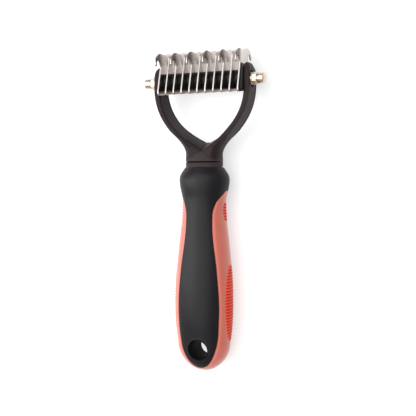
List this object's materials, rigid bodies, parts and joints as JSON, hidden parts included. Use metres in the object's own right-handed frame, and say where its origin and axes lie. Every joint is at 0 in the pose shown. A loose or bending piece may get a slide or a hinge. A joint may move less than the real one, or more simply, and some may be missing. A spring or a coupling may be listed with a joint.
{
  "type": "undercoat rake",
  "caption": "Double-sided undercoat rake: a tilted pack of hooked steel blades on a cross bolt, in a forked yoke on a soft two-colour handle with a hanging hole.",
  "frame": {"origin": "centre of the rake's outline, on the surface that its back lies on", "axes": "+X to the rake's right, +Y along the handle towards the blades, +Z out of the front face; it lies on its back"},
  "size_m": [0.0744, 0.1838, 0.0281],
  "materials": {
    "coral_plastic": "satin moulded",
    "soft_black": "soft-touch matt",
    "red_rib": "soft matt",
    "yoke_plastic": "satin moulded",
    "bolt_steel": "plain steel",
    "spacer_plastic": "glossy moulded",
    "blade_steel": "polished sheet steel",
    "warm_plating": "warm bright plating"
  },
  "bodies": {
    "rake": {"handle_core": "coral_plastic", "grip_cover": "soft_black", "side_ribs_left": "red_rib", "side_ribs_right": "red_rib", "hang_grommet": "soft_black", "yoke": "yoke_plastic", "cross_bolt": "bolt_steel", "end_block_left": "spacer_plastic", "end_block_right": "spacer_plastic", "blade_1": "blade_steel", "blade_2": "blade_steel", "blade_3": "blade_steel", "blade_4": "blade_steel", "blade_5": "blade_steel", "blade_6": "blade_steel", "blade_7": "blade_steel", "blade_8": "blade_steel", "blade_9": "blade_steel", "blade_10": "blade_steel", "blade_11": "blade_steel", "spacer_1": "spacer_plastic", "spacer_2": "spacer_plastic", "spacer_3": "spacer_plastic", "spacer_4": "spacer_plastic", "spacer_5": "spacer_plastic", "spacer_6": "spacer_plastic", "spacer_7": "spacer_plastic", "spacer_8": "spacer_plastic", "spacer_9": "spacer_plastic", "spacer_10": "spacer_plastic"},
    "left_washer": {"washer_left": "warm_plating"},
    "right_washer": {"washer_right": "warm_plating"},
    "left_nut": {"cap_nut_left": "warm_plating"},
    "right_nut": {"cap_nut_right": "warm_plating"}
  },
  "joints": [
    {"name": "right_washer_slide", "type": "slide", "parent": "rake", "child": "right_washer", "axis": [1, 0, 0], "range_m": [0, 0.00486]},
    {"name": "right_nut_turn", "type": "hinge", "parent": "right_washer", "child": "right_nut", "pos_m": [0.0295, 0.07386, 0.01462], "axis": [1, 0, 0], "range_deg": [0, 2500]},
    {"name": "left_washer_slide", "type": "slide", "parent": "rake", "child": "left_washer", "axis": [-1, 0, 0], "range_m": [0, 0.00486]},
    {"name": "left_nut_turn", "type": "hinge", "parent": "left_washer", "child": "left_nut", "pos_m": [-0.0295, 0.07386, 0.01462], "axis": [-1, 0, 0], "range_deg": [0, 2500]}
  ],
  "couplings": [
    {"joint": "right_nut_turn", "follows": "right_washer_slide", "rad_per_m": 8976},
    {"joint": "left_nut_turn", "follows": "left_washer_slide", "rad_per_m": 8976}
  ]
}
